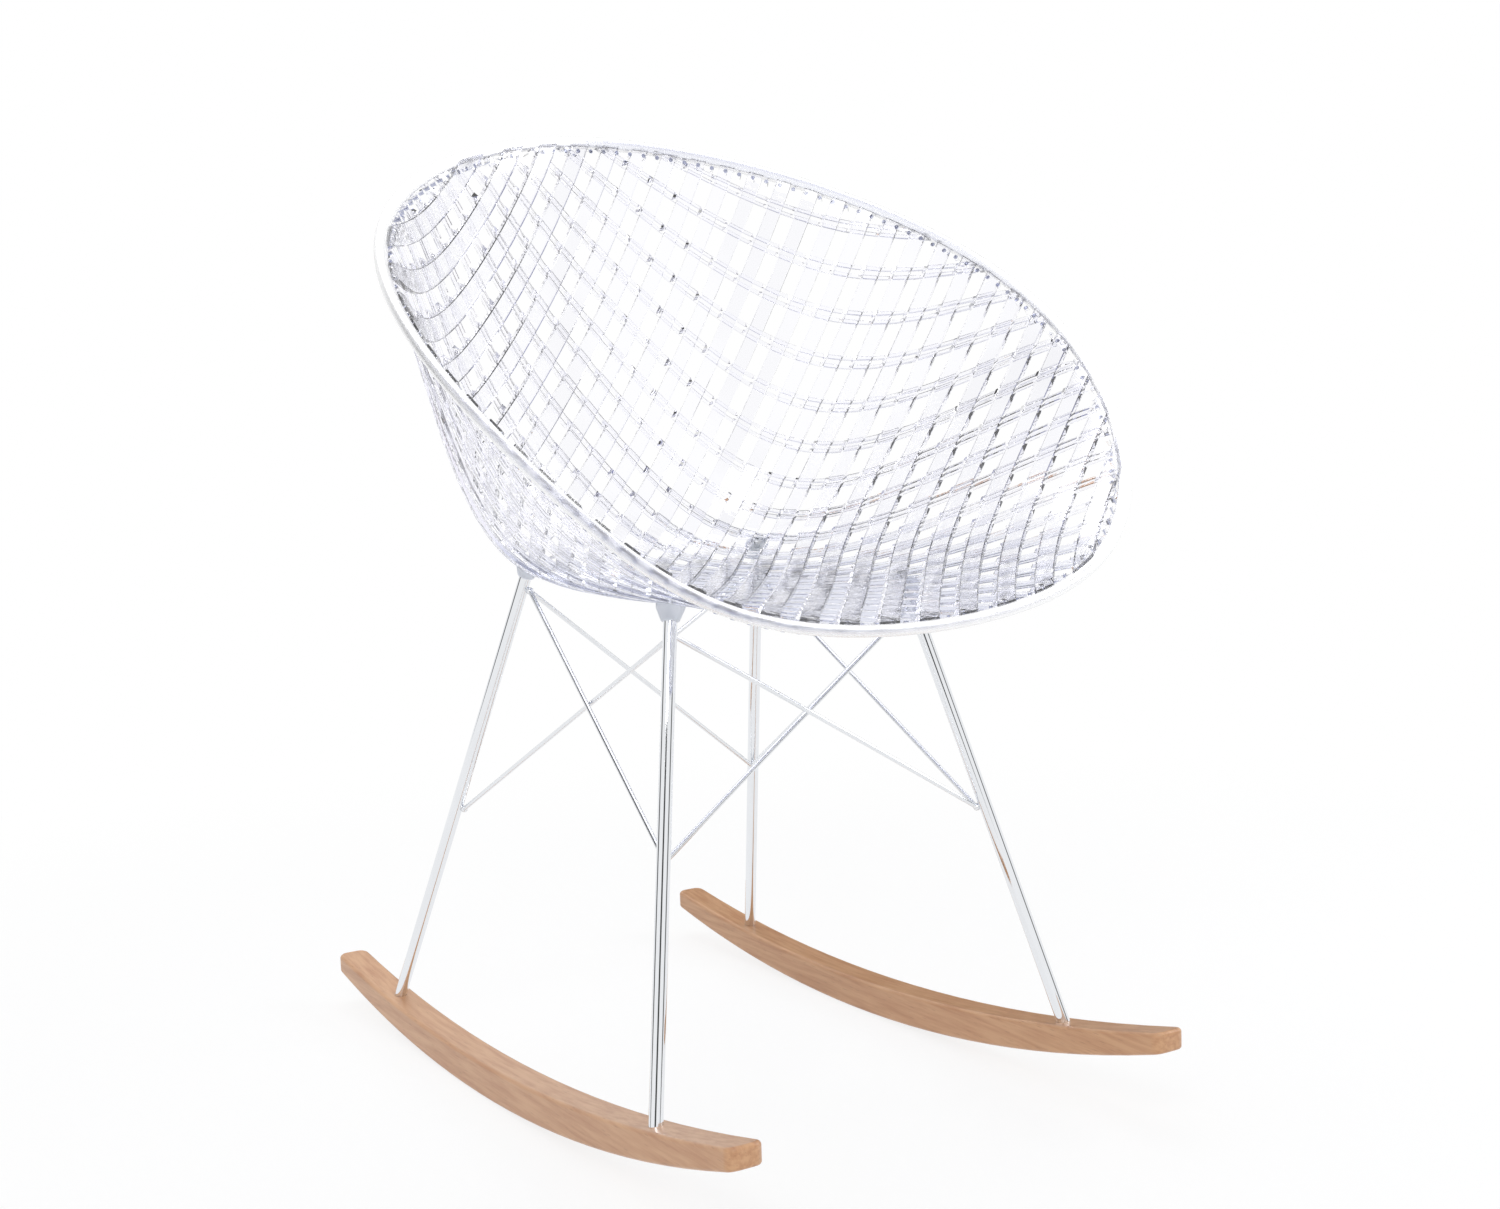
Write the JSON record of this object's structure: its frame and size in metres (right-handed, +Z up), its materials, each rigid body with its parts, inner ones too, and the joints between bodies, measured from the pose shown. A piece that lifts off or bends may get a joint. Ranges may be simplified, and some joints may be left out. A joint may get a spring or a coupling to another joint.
{
  "type": "rocking chair",
  "caption": "Rocking armchair: a clear moulded lattice bucket seat on splayed chromed rods, crossed brace wires and curved beech rockers.",
  "frame": {"origin": "on the floor, in the middle of the outer box: the rockers touch the floor plane z = 0 a little behind the middle", "axes": "+Z up, the chair faces -Y, +X is the sitter's left"},
  "size_m": [0.6096, 0.745, 0.817],
  "materials": {
    "clear_acrylic": "polished, clear",
    "frosted_acrylic": "frosted, translucent",
    "chromed_rod": "bright",
    "chromed_wire": "bright",
    "chromed_weld": "bright",
    "lacquered_beech": "satin clear lacquer",
    "screw_steel": "zinc plated"
  },
  "bodies": {
    "root": {"brace_inner_front": "chromed_wire", "brace_inner_left": "chromed_wire", "brace_inner_rear": "chromed_wire", "brace_inner_right": "chromed_wire", "brace_outer_front": "chromed_wire", "brace_outer_left": "chromed_wire", "brace_outer_rear": "chromed_wire", "brace_outer_right": "chromed_wire", "brace_weld_inner_front_left": "chromed_weld", "brace_weld_inner_front_right": "chromed_weld", "brace_weld_inner_rear_left": "chromed_weld", "brace_weld_inner_rear_right": "chromed_weld", "brace_weld_outer_front_left": "chromed_weld", "brace_weld_outer_front_right": "chromed_weld", "brace_weld_outer_rear_left": "chromed_weld", "brace_weld_outer_rear_right": "chromed_weld", "foot_screw_front_left": "screw_steel", "foot_screw_front_right": "screw_steel", "foot_screw_rear_left": "screw_steel", "foot_screw_rear_right": "screw_steel", "leg_front_left": "chromed_rod", "leg_front_right": "chromed_rod", "leg_rear_left": "chromed_rod", "leg_rear_right": "chromed_rod", "leg_socket_front_left": "frosted_acrylic", "leg_socket_front_right": "frosted_acrylic", "leg_socket_rear_left": "frosted_acrylic", "leg_socket_rear_right": "frosted_acrylic", "rocker_left": "lacquered_beech", "rocker_right": "lacquered_beech", "seat_screw_front_left": "screw_steel", "seat_screw_front_right": "screw_steel", "seat_screw_rear_left": "screw_steel", "seat_screw_rear_right": "screw_steel", "seat_shell": "clear_acrylic"}
  },
  "joints": []
}
